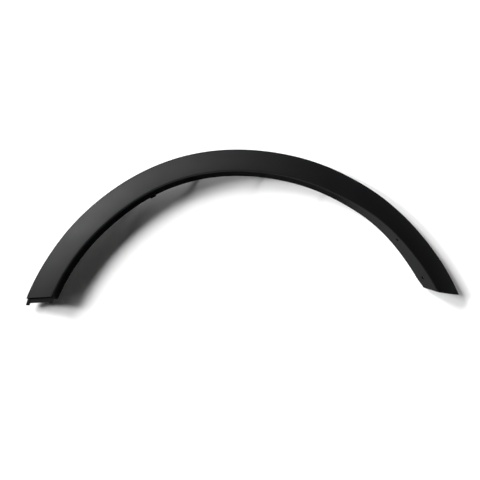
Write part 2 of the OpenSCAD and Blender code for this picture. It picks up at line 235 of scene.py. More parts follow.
def add(tree, kind, inputs=(), **settings):
    """Adds a node with its settings, and links or sets its inputs in order or by name."""
    made = tree.nodes.new(kind)
    made.location = (190 * len(tree.nodes), 0)
    for name, value in settings.items():
        setattr(made, name, value)
    sockets = [s for s in made.inputs if s.enabled]
    for key, value in (inputs.items() if isinstance(inputs, dict) else enumerate(inputs)):
        socket = sockets[key] if isinstance(key, int) else next(s for s in sockets if s.name == key)
        if isinstance(value, bpy.types.Node):
            value = next(s for s in value.outputs if s.enabled)
        if isinstance(value, bpy.types.NodeSocket):
            tree.links.new(value, socket)
        elif value is not None:
            socket.default_value = value
    return made


def node_group(name, inputs, outputs):
    """A geometry node group with these sockets, given as name: kind, and what comes into it."""
    tree = bpy.data.node_groups.new(name, "GeometryNodeTree")
    for sockets, way in ((inputs, "INPUT"), (outputs, "OUTPUT")):
        for socket_name, kind in sockets.items():
            tree.interface.new_socket(socket_name, in_out=way, socket_type="NodeSocket" + kind)
    return tree, tree.nodes.new("NodeGroupInput").outputs


def swell_group():
    """A smooth bump in the radius round one angle."""
    tree, given = node_group(
        "Swell", dict.fromkeys(("Angle", "Centre", "Spread", "Height"), "Float"), {"Radius": "Float"})
    away = add(tree, "ShaderNodeMath", [given["Angle"], given["Centre"]], operation="SUBTRACT")
    share = add(tree, "ShaderNodeMath", [away, given["Spread"]], operation="DIVIDE")
    share = add(tree, "ShaderNodeMath", [share], operation="ABSOLUTE")
    share = add(tree, "ShaderNodeMath", [share, 1.0], operation="MINIMUM")
    wave = add(tree, "ShaderNodeMath", [share, pi], operation="MULTIPLY")
    wave = add(tree, "ShaderNodeMath", [wave], operation="COSINE")
    wave = add(tree, "ShaderNodeMath", [wave, 0.5, 0.5], operation="MULTIPLY_ADD")
    bump = add(tree, "ShaderNodeMath", [wave, given["Height"]], operation="MULTIPLY")
    add(tree, "NodeGroupOutput", [bump])
    return tree


def growth_group():
    """How far a growth toward the right end has come, from 0 where it starts to 1 at the end."""
    tree, given = node_group(
        "Growth", dict.fromkeys(("Angle", "From", "Full"), "Float"), {"Share": "Float"})
    past = add(tree, "ShaderNodeMath", [given["From"], given["Angle"]], operation="SUBTRACT")
    span = add(tree, "ShaderNodeMath", [given["From"], given["Full"]], operation="SUBTRACT")
    share = add(tree, "ShaderNodeMath", [past, span], operation="DIVIDE")
    share = add(tree, "ShaderNodeMath", [share, 0.0], operation="MAXIMUM")
    share = add(tree, "ShaderNodeMath", [share, GROWTH_POWER], operation="POWER")
    add(tree, "NodeGroupOutput", [share])
    return tree


def section_group(plan, section):
    """Radius and height of a point of the section at an angle, and the flange's foot there."""
    tree, given = node_group(
        "Section point", {"Angle": "Float"}, dict.fromkeys(("Radius", "Height", "Foot"), "Float"))
    here = given["Angle"]
    # Once complete, the left waist and the right run-out stay as they are toward the ends.
    to_waist = add(tree, "ShaderNodeMath", [here, plan.waist_angle], operation="MINIMUM")
    to_runout = add(tree, "ShaderNodeMath", [here, plan.runout_angle], operation="MAXIMUM")
    swell, growth = swell_group(), growth_group()
    crown, shoulder, left, waist, runout = (
        add(tree, "GeometryNodeGroup", values, node_tree=swell) for values in (
            [here, plan.crown_angle, plan.crown_spread, plan.crown_swell],
            [here, plan.shoulder_angle, plan.shoulder_spread, plan.shoulder_swell],
            [here, plan.left_flare_angle, plan.left_flare_spread, plan.left_flare / section.flare],
            [to_waist, plan.waist_angle, plan.waist_spread, plan.waist],
            [to_runout, plan.runout_angle, plan.runout_spread, plan.runout],
        ))
    wide = add(tree, "GeometryNodeGroup", [here, plan.widening_angle, plan.full_angle], node_tree=growth)
    flared = add(tree, "GeometryNodeGroup", [here, plan.flare_angle, plan.full_angle], node_tree=growth)
    flared = add(tree, "ShaderNodeMath", [flared, left], operation="ADD")
    # The waist draws the flange in, while the outer edge stays where it is. The run-out turns
    # the flange's corner out, while the crease and the outer edge stay.
    flared = add(tree, "ShaderNodeMath", [waist, 1 / section.flare, flared], operation="MULTIPLY_ADD")
    flared = add(tree, "ShaderNodeMath", [runout, -1 / section.flare, flared], operation="MULTIPLY_ADD")
    wide = add(tree, "ShaderNodeMath", [runout, -1 / section.widening, wide], operation="MULTIPLY_ADD")
    foot = add(tree, "ShaderNodeMath", [crown, shoulder], operation="ADD")
    for change, way in ((waist, "SUBTRACT"), (runout, "ADD"), (plan.foot_radius, "ADD")):
        foot = add(tree, "ShaderNodeMath", [foot, change], operation=way)
    point = add(tree, "GeometryNodeInputNamedAttribute", ["base"], data_type="FLOAT_VECTOR")
    for name, share in (("widen", wide), ("flare", flared)):
        part = add(tree, "GeometryNodeInputNamedAttribute", [name], data_type="FLOAT_VECTOR")
        part = add(tree, "ShaderNodeVectorMath", {0: part, "Scale": share}, operation="SCALE")
        point = add(tree, "ShaderNodeVectorMath", [point, part], operation="ADD")
    apart = add(tree, "ShaderNodeSeparateXYZ", [point])
    radius = add(tree, "ShaderNodeMath", [foot, apart.outputs["X"]], operation="ADD")
    add(tree, "NodeGroupOutput", [radius, apart.outputs["Z"], foot])
    return tree


def cut_group(section, ends):
    """The angles at which both cuts pass through a point of the section."""
    tree, given = node_group(
        "Cuts", dict.fromkeys(("Radius", "Height", "Foot", "Past"), "Float"),
        {"Right": "Float", "Left": "Float"})
    radius, height = given["Radius"], given["Height"]
    # The flange's corner is rounded, so both cuts fall back near its foot.
    foot_height = section.panel_height - section.flange_reach
    here = add(tree, "ShaderNodeCombineXYZ", {"X": radius, "Z": height})
    foot = add(tree, "ShaderNodeCombineXYZ", {"X": given["Foot"], "Z": foot_height})
    near = add(tree, "ShaderNodeVectorMath", [here, foot], operation="DISTANCE")
    near = add(tree, "ShaderNodeMath", [ends.corner_round, near.outputs["Value"]], operation="SUBTRACT")
    near = add(tree, "ShaderNodeMath", [near, 0.0], operation="MAXIMUM")
    near = add(tree, "ShaderNodeMath", [near, near], operation="MULTIPLY")
    side = add(tree, "ShaderNodeMath", [ends.corner_round ** 2, near], operation="SUBTRACT")
    side = add(tree, "ShaderNodeMath", [side], operation="SQRT")
    back = add(tree, "ShaderNodeMath", [ends.corner_round, side], operation="SUBTRACT")
    back = add(tree, "ShaderNodeMath", [back, given["Past"]], operation="SUBTRACT")
    right_cut = ends.right_cut + section.panel_height * tan(ends.right_lean)
    cuts = []
    for lean, distance, inverse, start in (
        (-tan(ends.right_lean), right_cut, "ARCCOSINE", pi / 2 - ends.right_turn),
        (tan(ends.left_lean), ends.left_cut, "ARCSINE", pi),
    ):
        away = add(tree, "ShaderNodeMath", [height, lean, back], operation="MULTIPLY_ADD")
        away = add(tree, "ShaderNodeMath", [away, distance], operation="ADD")
        share = add(tree, "ShaderNodeMath", [away, radius], operation="DIVIDE")
        turn = add(tree, "ShaderNodeMath", [share], operation=inverse)
        cuts.append(add(tree, "ShaderNodeMath", [start, turn], operation="SUBTRACT"))
    add(tree, "NodeGroupOutput", cuts)
    return tree


def wrap_tree(plan, section, ends):
    """Wraps a blank, which holds points of the section, round the wheel arch between its cuts."""
    tree, given = node_group(
        "Wrap round the arch",
        {"Blank": "Geometry", "Inset": "Float", "Wheel": "Vector", "Finish": "Material"},
        {"Moulding": "Geometry"})
    along = add(tree, "GeometryNodeInputNamedAttribute", ["along"], data_type="FLOAT")
    past = add(tree, "GeometryNodeInputNamedAttribute", ["past"], data_type="FLOAT")
    point_at, cuts_at = section_group(plan, section), cut_group(section, ends)
    found = []
    for way, angle_now in (("Right", plan.full_angle), ("Left", pi - ends.left_cut / plan.foot_radius)):
        # The section grows toward its ends, so each cut's angle is found in a few steps.
        for _ in range(CUT_STEPS):
            point = add(tree, "GeometryNodeGroup", [angle_now], node_tree=point_at)
            cuts = add(tree, "GeometryNodeGroup", [*point.outputs[:3], past], node_tree=cuts_at)
            angle_now = cuts.outputs[way]
        found.append(angle_now)
    right = add(tree, "ShaderNodeMath", [found[0], given["Inset"]], operation="ADD")
    left = add(tree, "ShaderNodeMath", [found[1], given["Inset"]], operation="SUBTRACT")
    turn = add(tree, "ShaderNodeMix", [along, right, left], data_type="FLOAT", clamp_factor=False)
    point = add(tree, "GeometryNodeGroup", [turn], node_tree=point_at)
    east = add(tree, "ShaderNodeMath", [turn], operation="COSINE")
    north = add(tree, "ShaderNodeMath", [turn], operation="SINE")
    out = add(tree, "ShaderNodeCombineXYZ", [east, north, 0.0])
    out = add(tree, "ShaderNodeVectorMath", {0: out, "Scale": point.outputs["Radius"]}, operation="SCALE")
    lift = add(tree, "ShaderNodeCombineXYZ", {"Z": point.outputs["Height"]})
    place = add(tree, "ShaderNodeVectorMath", [out, lift], operation="ADD")
    place = add(tree, "ShaderNodeVectorMath", [place, given["Wheel"]], operation="ADD")
    moved = add(tree, "GeometryNodeSetPosition", {"Geometry": given["Blank"], "Position": place})
    whole = add(tree, "GeometryNodeRealizeInstances", [moved])
    finished = add(tree, "GeometryNodeSetMaterial", {"Geometry": whole, "Material": given["Finish"]})
    add(tree, "NodeGroupOutput", [finished])
    return tree


def repeat_tree(name):
    """Puts one shape on each point, turned by the point's own angle, as plain geometry."""
    tree, given = node_group(
        name, {"Points": "Geometry", "Shape": "Object", "Finish": "Material"}, {"Pieces": "Geometry"})
    shape = add(tree, "GeometryNodeObjectInfo", {"Object": given["Shape"]}).outputs["Geometry"]
    turn = add(tree, "GeometryNodeInputNamedAttribute", ["turn"], data_type="FLOAT")
    spin = add(tree, "ShaderNodeCombineXYZ", {"Z": turn})
    copies = add(
        tree, "GeometryNodeInstanceOnPoints",
        {"Points": given["Points"], "Instance": shape, "Rotation": spin})
    plain = add(tree, "GeometryNodeRealizeInstances", [copies])
    finished = add(tree, "GeometryNodeSetMaterial", {"Geometry": plain, "Material": given["Finish"]})
    add(tree, "NodeGroupOutput", [finished])
    return tree


# Making, cutting and joining pieces.


def put_in_scene(name, data):
    """A new object with this data, in the scene."""
    made = bpy.data.objects.new(name, data)
    bpy.context.scene.collection.objects.link(made)
    return made


def new_piece(name, mesh=None):
    """A piece with this mesh, or with an empty one."""
    return put_in_scene(name, mesh or bpy.data.meshes.new(name))


def piece_of(name, made):
    """A piece from a bmesh, which is freed."""
    piece = new_piece(name)
    made.to_mesh(piece.data)
    made.free()
    return piece


def discard(pieces):
    """Removes pieces that have done their work, with their meshes."""
    for piece in pieces:
        mesh = piece.data
        bpy.data.objects.remove(piece)
        bpy.data.meshes.remove(mesh)


def apply_modifiers(piece):
    """Turns the evaluated piece into its own plain mesh and removes its modifiers."""
    bpy.context.view_layer.update()
    evaluated = piece.evaluated_get(bpy.context.evaluated_depsgraph_get())
    mesh = bpy.data.meshes.new_from_object(evaluated)
    piece.modifiers.clear()
    old, piece.data = piece.data, mesh
    mesh.name = piece.name
    bpy.data.meshes.remove(old)
    return piece


def run_tree(piece, tree, values):
    """Runs a tree on a piece with these inputs, and returns the result as a plain mesh."""
    modifier = piece.modifiers.new(tree.name, "NODES")
    modifier.node_group = tree
    for item in tree.interface.items_tree:
        if item.in_out == "INPUT" and item.name in values:
            modifier[item.identifier] = values[item.name]
    return apply_modifiers(piece)


def cut(piece, others, way="DIFFERENCE"):
    """Cuts the others out of a piece, or with INTERSECT keeps only what lies in them."""
    for other in others:
        modifier = piece.modifiers.new("Cut", "BOOLEAN")
        modifier.operation, modifier.solver, modifier.object = way, "EXACT", other
    return apply_modifiers(piece)


def join(name, pieces, finish):
    """One piece from several, all in one finish."""
    whole = bmesh.new()
    for piece in pieces:
        whole.from_mesh(piece.data)
    for face in whole.faces:
        face.material_index = 0
    discard(pieces)
    joined = piece_of(name, whole)
    joined.data.materials.append(finish)
    return joined


def finish_piece(piece, nodes):
    """Shades a piece, lets it stand for its nodes and rides it on the part."""
    piece.data.shade_smooth()
    piece.data.set_sharp_from_angle(angle=radians(SHARP_ANGLE))
    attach(piece, "root")
    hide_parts(*nodes)


def cylinder(name, radius, low, high, steps=48):
    """A closed cylinder along Z."""
    made = bmesh.new()
    bmesh.ops.create_cone(
        made, cap_ends=True, segments=steps, radius1=radius, radius2=radius, depth=high - low)
    bmesh.ops.translate(made, verts=made.verts, vec=(0, 0, (low + high) / 2))
    return piece_of(name, made)


def block(name, low, high):
    """A closed box between two corners."""
    made = bmesh.new()
    verts = [made.verts.new(corner) for corner in product(*zip(low, high))]
    for face in ((0, 1, 3, 2), (4, 6, 7, 5), (0, 4, 5, 1), (2, 3, 7, 6), (0, 2, 6, 4), (1, 5, 7, 3)):
        made.faces.new([verts[i] for i in face])
    return piece_of(name, made)


def tie(made, sides):
    """Closes a shape between two equal outlines."""
    near, far = sides
    made.faces.new(near)
    made.faces.new(far[::-1])
    for i in range(len(near)):
        j = (i + 1) % len(near)
        made.faces.new((near[i], far[i], far[j], near[j]))
    bmesh.ops.triangulate(made, faces=[f for f in made.faces if len(f.verts) > 4])
    bmesh.ops.recalc_face_normals(made, faces=made.faces)


def lathe(points, steps=40):
    """A closed shape turned about Z from a profile that starts and ends on the axis."""
    made = bmesh.new()
    turns = np.linspace(0, 2 * pi, steps, endpoint=False)
    rings = []
    for radius, height in points:
        if radius == 0:
            rings.append([made.verts.new((0, 0, height))])
        else:
            rings.append([made.verts.new((radius * cos(a), radius * sin(a), height)) for a in turns])
    for low, high in zip(rings, rings[1:]):
        for i in range(steps):
            j = (i + 1) % steps
            around = [low[i % len(low)], low[j % len(low)], high[j % len(high)], high[i % len(high)]]
            made.faces.new(list(dict.fromkeys(around)))
    return made


# The moulding's section, as [distance outside the flange's foot, height].


def inward(p, q):
    """The direction into the wall from the line between two points of the skin."""
    run, rise = q[0] - p[0], q[1] - p[1]
    size = hypot(run, rise)
    return np.array([-rise / size, run / size])


def corners(section, wide, flared):
    """Lip foot, outer edge, crease and flange foot, with shares of the widening and flare."""
    edge = section.panel_height + section.lip_height
    outer = section.flange_run + section.face_width + flared * section.flare
    return np.array([
        (outer, section.panel_height),
        (outer, edge),
        (section.flange_run + wide * section.widening, edge + section.face_rise),
        (0, section.panel_height - section.flange_reach),
    ])


def face_bulge(section, share):
    """How far the face bulges at a share of the way from outer edge to crease."""
    return section.face_crown * 4 * share * (1 - share)


def under_face(section, wide, flared, share, depth):
    """A point a depth under the face, at a share of the way from outer edge to crease."""
    edge, crease = corners(section, wide, flared)[1:3]
    sunk = depth - face_bulge(section, share)
    return edge + (crease - edge) * share + inward(edge, crease) * sunk


def rounded(c, i, depth, radius, start, end, steps):
    """An arc round a corner, a depth inside the skin."""
    r = max(radius - depth, LEAST_ROUND)
    n, m = inward(c[i - 1], c[i]), inward(c[i], c[i + 1])
    centre = c[i] + (depth + r) * (n + m) / (1 + n @ m)
    return [centre - r * np.array([cos(f), sin(f)]) for f in np.linspace(start, end, steps + 1)]


def foot_line(p, along, across, depth, radius):
    """The rounding of a foot, from its tip up along the wall."""
    q = p + across * depth
    turns = np.radians([0, 22.5, 45, 67.5, 90])
    return [q + radius * ((1 - sin(f)) * along + (0 if depth else 1 - cos(f)) * across) for f in turns]


def skin_line(section, wide, flared, depth):
    """The line a depth inside the skin, from the lip's foot to the flange's foot."""
    c = corners(section, wide, flared)
    lip, face, flange = (inward(c[i], c[i + 1]) for i in range(3))
    turned = [atan2(n[1], n[0]) % (2 * pi) for n in (lip, face, flange)]
    swing = atan(4 * section.face_crown / np.linalg.norm(c[2] - c[1]))
    edge = rounded(c, 1, depth, section.edge_round, turned[0], turned[1] - swing, EDGE_STEPS)
    crease = rounded(c, 2, depth, section.crease_round, turned[1] + swing, turned[2], CREASE_STEPS)
    up, down = ((c[i] - c[j]) / np.linalg.norm(c[i] - c[j]) for i, j in ((1, 0), (2, 3)))
    lip_foot = foot_line(c[0], up, lip, depth, section.foot_round)
    flange_foot = foot_line(c[3], down, flange, depth, section.foot_round)
    a, b = edge[-1], crease[0]
    face_line = [
        a + (b - a) * s - inward(a, b) * face_bulge(section, s)
        for s in np.linspace(0, 1, FACE_STEPS + 1)[1:-1]]
    top, low = crease[-1], flange_foot[0]
    flange_line = [top + (low - top) * s for s in np.linspace(0, 1, FLANGE_STEPS + 1)[1:-1]]
    return [*reversed(lip_foot), *edge, *face_line, *crease, *flange_line, *flange_foot]


def blank(name, line, stations):
    """A mesh whose rings hold the section's points, closed at both ends.

    line(wide, flared, past) gives a ring that runs out along one line and back along the other,
    and each station is a share of the way along the arch and a distance past the left cut.
    """
    shapes = ((0, 0), (1, 0), (0, 1))
    rings = {p: [np.array(line(*shape, p)) for shape in shapes] for _, p in stations}
    base, wide, flare = (np.array([rings[p][k] for _, p in stations]) for k in range(3))
    size, last = base.shape[1], len(stations) - 1
    faces = []
    for near in range(0, last * size, size):
        far = near + size
        for i in range(size):
            j = (i + 1) % size
            faces.append((near + i, near + j, far + j, far + i))
    for i in range(size // 2 - 1):
        cap = (i, size - 1 - i, size - 2 - i, i + 1)
        faces.append(cap)
        faces.append(tuple(last * size + k for k in (cap[0], cap[3], cap[2], cap[1])))
    mesh = bpy.data.meshes.new(name)
    mesh.from_pydata([(x, 0, z) for x, z in base.reshape(-1, 2)], [], [f[::-1] for f in faces])
    for key, points in (("base", base), ("widen", wide - base), ("flare", flare - base)):
        values = np.zeros((len(stations), size, 3), np.float32)
        values[:, :, 0], values[:, :, 2] = points[:, :, 0], points[:, :, 1]
        mesh.attributes.new(key, "FLOAT_VECTOR", "POINT").data.foreach_set("vector", values.ravel())
    for k, key in enumerate(("along", "past")):
        values = np.repeat(np.array([s[k] for s in stations], np.float32), size)
        mesh.attributes.new(key, "FLOAT", "POINT").data.foreach_set("value", values)
    return new_piece(name, mesh)


# Finishes.


def shader(name, constants):
    """A new material, its tree, its shader node with these constants, and Object coordinates."""
    material = bpy.data.materials.new(name)
    material.use_nodes = True
    tree = material.node_tree
    tree.nodes.clear()
    body = add(tree, "ShaderNodeBsdfPrincipled", constants)
    add(tree, "ShaderNodeOutputMaterial", {"Surface": body})
    where = add(tree, "ShaderNodeTexCoord").outputs["Object"]
    return material, tree, body, where


def moulded_polypropylene(finish):
    """Black polypropylene from a grained mould.

    The fine grain breaks the reflection up, so the face has a broad, soft sheen and no sharp
    highlight, and it turns nearly black where it leans away from the light.
    """
    constants = {"Base Color": (*finish.plastic, 1), "IOR": 1.49}
    material, tree, body, where = shader("Moulded black polypropylene", constants)
    # The grain shades itself where a wall is seen at a low angle, so the sheen fades there and
    # doesn't grow as on a smooth sheet, and the steep flange stays black.
    turned = add(tree, "ShaderNodeLayerWeight", {"Blend": 0.5}).outputs["Facing"]
    sheen = add(
        tree, "ShaderNodeMapRange",
        {"Value": turned, "From Min": 0.38, "From Max": 0.66, "To Min": 0.168, "To Max": 0.007})
    tree.links.new(sheen.outputs[0], body.inputs["Specular IOR Level"])
    # The real grain is about 0.4 mm and wouldn't show, so it is drawn about twice as coarse,
    # with finer pores between its cells.
    pores_in_cell = 1.6
    cells = add(
        tree, "ShaderNodeTexVoronoi", {"Vector": where, "Scale": 1 / finish.grain, "Randomness": 1.0})
    pores = add(
        tree, "ShaderNodeTexNoise",
        {"Vector": where, "Scale": pores_in_cell / finish.grain, "Detail": 2.0, "Roughness": 0.6})
    relief = add(
        tree, "ShaderNodeMath", [cells.outputs["Distance"], 0.6, pores.outputs[0]],
        operation="MULTIPLY_ADD")
    bump = add(tree, "ShaderNodeBump", {"Strength": 0.35, "Distance": 0.00006, "Height": relief})
    tree.links.new(bump.outputs[0], body.inputs["Normal"])
    # Cooling leaves faint cloudy changes of gloss, some 60 mm across.
    cloud_size = 0.06
    clouds = add(tree, "ShaderNodeTexNoise", {"Vector": where, "Scale": 1 / cloud_size, "Detail": 3.0})
    gloss = add(
        tree, "ShaderNodeMapRange",
        {"Value": clouds.outputs[0], "From Min": 0.3, "From Max": 0.7, "To Min": 0.46, "To Max": 0.51})
    tree.links.new(gloss.outputs[0], body.inputs["Roughness"])
    return material


def natural_nylon(finish):
    """Injection-moulded natural nylon: cream, a little see-through at thin edges, low gloss."""
    constants = {
        "Base Color": (*finish.nylon, 1),
        "IOR": 1.53,
        "Subsurface Weight": 0.15,
        "Subsurface Radius": (0.0012, 0.001, 0.0007),
        "Subsurface Scale": 1.0,
    }
    material, tree, body, where = shader("Moulded natural nylon", constants)
    # The melt leaves flow marks, some 3 mm across, on a part this small.
    flow_size = 0.003
    flow = add(tree, "ShaderNodeTexNoise", {"Vector": where, "Scale": 1 / flow_size, "Detail": 2.0})
    gloss = add(tree, "ShaderNodeMapRange", {"Value": flow.outputs[0], "To Min": 0.34, "To Max": 0.5})
    tree.links.new(gloss.outputs[0], body.inputs["Roughness"])
    bump = add(tree, "ShaderNodeBump", {"Strength": 0.15, "Distance": 0.00003, "Height": flow.outputs[0]})
    tree.links.new(bump.outputs[0], body.inputs["Normal"])
    return material


def closed_cell_foam(finish):
    """Cut polyethylene foam: dark grey and matt, with the cells of about 0.5 mm as small pits that are
    darkened with painted shade.
    """
    cell_size = 0.0005
    material, tree, body, where = shader("Cut closed-cell foam", {"Roughness": 0.9, "IOR": 1.5})
    cells = add(tree, "ShaderNodeTexVoronoi", {"Vector": where, "Scale": 1 / cell_size})
    depth = cells.outputs["Distance"]
    # Painted shade: the grey is darkest in each cell's pit and a little lighter than the foam's own grey on
    # the walls between the pits.
    pit_shade = add(tree, "ShaderNodeMapRange", {"Value": depth, "To Min": 0.7, "To Max": 1.15})
    pit_shaded_foam = add(
        tree, "ShaderNodeVectorMath", {0: tuple(finish.foam), "Scale": pit_shade.outputs[0]},
        operation="SCALE")
    tree.links.new(pit_shaded_foam.outputs[0], body.inputs["Base Color"])
    bump = add(tree, "ShaderNodeBump", {"Strength": 0.6, "Distance": 0.0001, "Height": depth})
    tree.links.new(bump.outputs[0], body.inputs["Normal"])
    return material


def plain_bench(finish):
    """A plain pale matt bench top, with no gloss at all."""
    constants = {"Base Color": (*finish.bench, 1), "Roughness": 1.0, "Specular IOR Level": 0.0}
    return shader("Matt pale bench", constants)[0]


# Pieces.


def pose_on(mount):
    """The matrix that puts a shape along Z at a mount, with Z pointing into the wall."""
    turn = Vector((0, 0, -1)).rotation_difference(Vector(mount["axis"])).to_matrix().to_4x4()
    return Matrix.Translation(Vector(mount["pos_m"])) @ turn


def turn_of(plan, mount):
    """A mount's angle about the wheel's axis."""
    return atan2(mount["pos_m"][1] - plan.wheel_y, mount["pos_m"][0] - plan.wheel_x)


def turned_points(name, places, turns):
    """A vertex at each place, with its turn about Z."""
    mesh = bpy.data.meshes.new(name)
    mesh.from_pydata(places, [], [])
    mesh.attributes.new("turn", "FLOAT", "POINT").data.foreach_set("value", turns)
    return new_piece(name, mesh)


def clip_points(name, plan):
    """A vertex at each clip's place."""
    turns = [turn_of(plan, mount) for mount in CLIP_MOUNTS]
    return turned_points(name, [mount["pos_m"] for mount in CLIP_MOUNTS], turns)


def clip_house(section, clips):
    """One house: an open-sided box whose slotted plate holds a clip's head."""
    half, tall = clips.house_size / 2, section.lip_height + section.face_rise
    inner, slot, base = half - clips.house_wall, clips.neck + clips.play, clips.plate_height
    # The cutters stand a little out of the house.
    over = 0.001
    house = block("clip_house", (-half, -half, base), (half, half, base + tall))
    plate_top = base + clips.plate
    cutters = [
        block("pocket", (-inner, -inner, plate_top), (inner, half + over, base + tall + over)),
        block("slot", (-slot, 0, base - over), (slot, half + over, plate_top + over)),
        cylinder("seat", slot, base - over, plate_top + over),
    ]
    cut(house, cutters)
    discard(cutters)
    return house


def rib_blades(plan, section, clips, room, finish):
    """Two thin ribs between each pair of houses, cut to the room behind the shell."""
    turns = [turn_of(plan, mount) for mount in CLIP_MOUNTS]
    rib_shares = (0.3, 0.7)
    rib_turns = [a + (b - a) * s for a, b in zip(turns, turns[1:]) for s in rib_shares]
    wheel = (plan.wheel_x, plan.wheel_y, 0.0)
    # The blank reaches past the room, except toward the panel.
    inner, outer, top = 0.35, 0.5, 0.06
    low = section.panel_height + clips.rib_gap
    rib = block("rib", (inner, -clips.rib / 2, low), (outer, clips.rib / 2, top))
    ribs = turned_points("ribs", [wheel] * len(rib_turns), rib_turns)
    run_tree(ribs, repeat_tree("Ribs"), {"Shape": rib, "Finish": finish})
    discard([rib])
    return cut(ribs, [room], "INTERSECT")


def liner_tab(plan, section, ends):
    """The hooked tab under the flange that holds the wheel liner."""
    wall, hook = section.wall, ends.tab_hook
    foot = section.panel_height - section.flange_reach
    low = foot - ends.tab_drop
    # The tab starts inside the flange's wall and ends in a blunt hook.
    outer, root, throat, blunt, sole, bevel = (wall * share for share in (0.9, 0.3, 0.1, 0.8, 0.6, 0.3))
    outline = [
        (outer, foot + wall), (root, foot + wall), (throat, low + outer), (-hook, low + blunt),
        (-hook, low), (sole, low), (outer, low + bevel),
    ]
    made = bmesh.new()
    half = ends.tab_width / 2
    tie(made, [[made.verts.new((x, y, z)) for x, z in outline] for y in (-half, half)])
    radius = plan.foot_radius
    for height, centre, spread in (
        (plan.crown_swell, plan.crown_angle, plan.crown_spread),
        (-plan.waist, plan.waist_angle, plan.waist_spread),
    ):
        share = min(abs(ends.tab_angle - centre) / spread, 1)
        radius += height * (cos(pi * share) + 1) / 2
    wheel = Matrix.Translation((plan.wheel_x, plan.wheel_y, 0))
    place = wheel @ Matrix.Rotation(ends.tab_angle, 4, "Z") @ Matrix.Translation((radius, 0, 0))
    bmesh.ops.transform(made, verts=made.verts, matrix=place)
    return piece_of("tab", made)


def clip_body(section, clips):
    """A push-in clip: head, neck, collar and a blade with two barbs."""
    neck, collar, head = clips.neck, clips.collar, clips.head
    seal, collar_top = clips.seal, clips.plate_height
    head_low = collar_top + clips.plate + clips.play
    head_top = head_low + clips.head_thickness
    # Outer edges are rounded over a bevel, whose middle point lies a share of it inside.
    bevel = 0.0004
    mid = bevel * 0.3
    made = lathe([
        (0, 0), (neck, 0), (neck, seal),
        (collar - bevel, seal), (collar - mid, seal + mid), (collar, seal + bevel),
        (collar - mid, collar_top - mid), (collar - bevel, collar_top),
        (neck, collar_top), (neck, head_low),
        (head - bevel, head_low), (head, head_low + bevel), (head, head_top - bevel),
        (head - mid, head_top - mid), (head - bevel, head_top), (0, head_top),
    ])
    # Heights along the blade, as shares of its reach down to the tip.
    reach = section.panel_height
    root, widest, notch, slot_end = (-share * reach for share in (0.12, 0.36, 0.38, 0.76))
    # Each barb is narrower at its root, and the blade's core runs a little into the collar.
    spring, sunk = 0.7, 0.0002
    grip, thick = neck + clips.play, clips.barb_thickness
    barb = [
        (clips.tip, -reach), (clips.barb, widest), (grip, root), (grip - spring * thick, root),
        (clips.barb - thick, notch), (thick, slot_end), (thick / 2, slot_end), (thick / 2, sunk),
    ]
    outline = barb + [(-y, z) for y, z in reversed(barb)]
    half = clips.blade / 2
    tie(made, [[made.verts.new((x, y, z)) for y, z in outline] for x in (half, -half)])
    return piece_of("clip_body", made)


def seal_ring(clips):
    """A foam washer with slightly soft edges."""
    gap, soft = 0.0003, 0.0003
    inner, outer, thick = clips.neck + gap, clips.seal_radius, clips.seal
    profile = [
        (inner, 0), (outer - soft, 0), (outer, soft),
        (outer, thick - soft), (outer - soft, thick), (inner, thick),
    ]
    made = lathe(profile + profile[:1])
    bmesh.ops.remove_doubles(made, verts=made.verts, dist=1e-7)
    bmesh.ops.recalc_face_normals(made, faces=made.faces)
    return piece_of("seal_ring", made)


